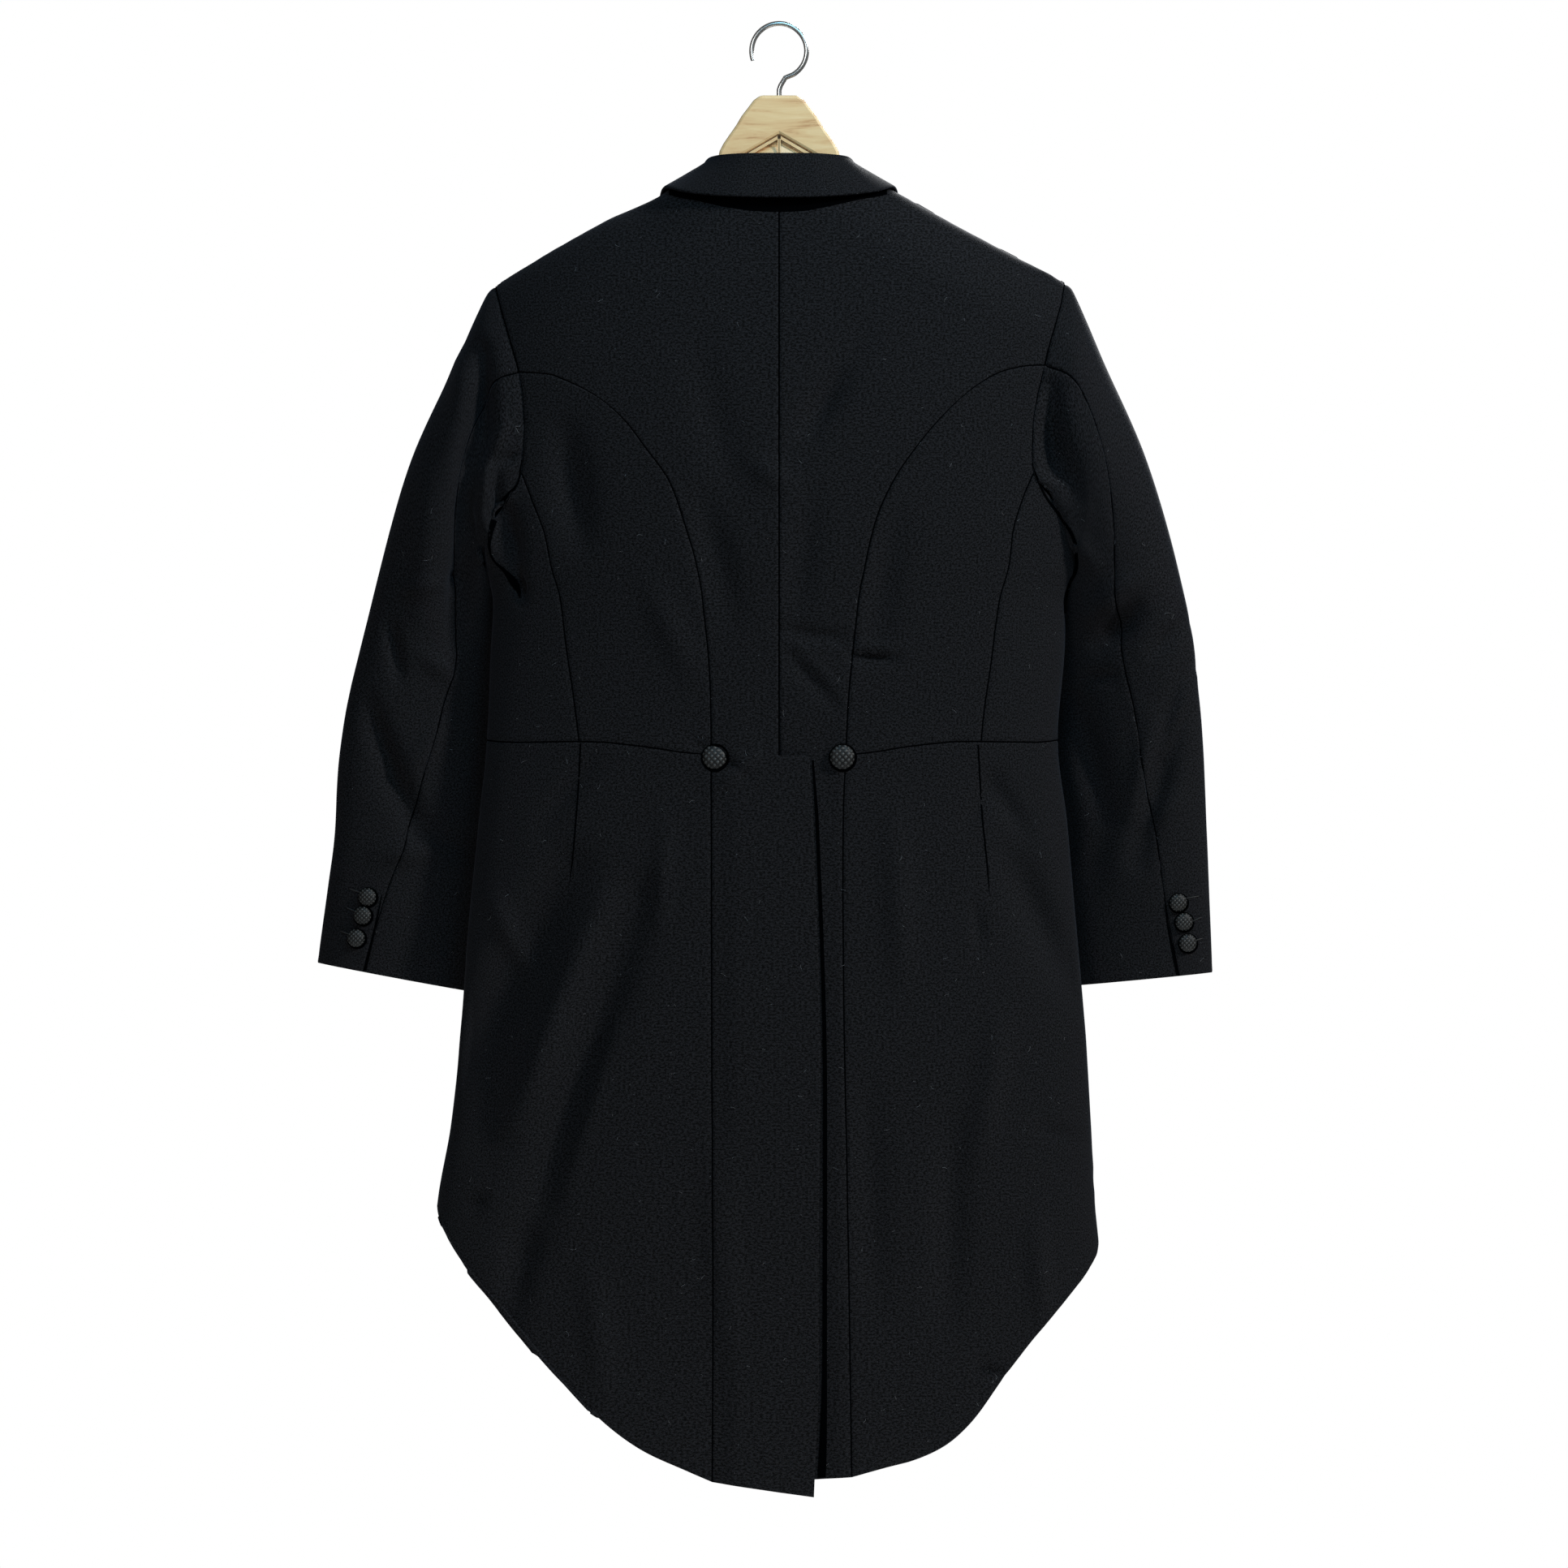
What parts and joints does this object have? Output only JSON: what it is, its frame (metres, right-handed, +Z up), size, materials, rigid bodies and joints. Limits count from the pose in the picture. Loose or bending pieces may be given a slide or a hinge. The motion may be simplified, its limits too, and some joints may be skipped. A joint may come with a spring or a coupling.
{
  "type": "morning coat on a hanger",
  "caption": "Black wool morning coat with long cut-away tails, a lapped back vent and covered buttons, hung on a pale wooden hanger with a steel hook.",
  "frame": {"origin": "the highest point inside the bend of the hanger's hook, where a rail bears", "axes": "+Z up along the coat's length, +Y out of the coat's front, so that the back faces -Y, +X to the wearer's right"},
  "size_m": [0.7204, 0.145, 1.179],
  "materials": {
    "black_wool": "fine worsted twill, matte, black with a faint blue cast",
    "covered_button": "woven thread cover, slight sheen",
    "pale_wood": "satin varnish",
    "bright_steel": "bright plated wire"
  },
  "bodies": {
    "root": {"back_left": "black_wool", "back_right": "black_wool", "collar": "black_wool", "cuff_button_left_1": "covered_button", "cuff_button_left_2": "covered_button", "cuff_button_left_3": "covered_button", "cuff_button_right_1": "covered_button", "cuff_button_right_2": "covered_button", "cuff_button_right_3": "covered_button", "forepart_left": "black_wool", "forepart_right": "black_wool", "front_button": "covered_button", "hanger_arm_left": "pale_wood", "hanger_arm_right": "pale_wood", "hanger_hook": "bright_steel", "hanger_neck": "pale_wood", "lapel_left": "black_wool", "lapel_right": "black_wool", "side_body_left": "black_wool", "side_body_right": "black_wool", "skirt_left": "black_wool", "skirt_right": "black_wool", "top_sleeve_left": "black_wool", "top_sleeve_right": "black_wool", "under_sleeve_left": "black_wool", "under_sleeve_right": "black_wool", "waist_button_left": "covered_button", "waist_button_right": "covered_button"}
  },
  "joints": []
}
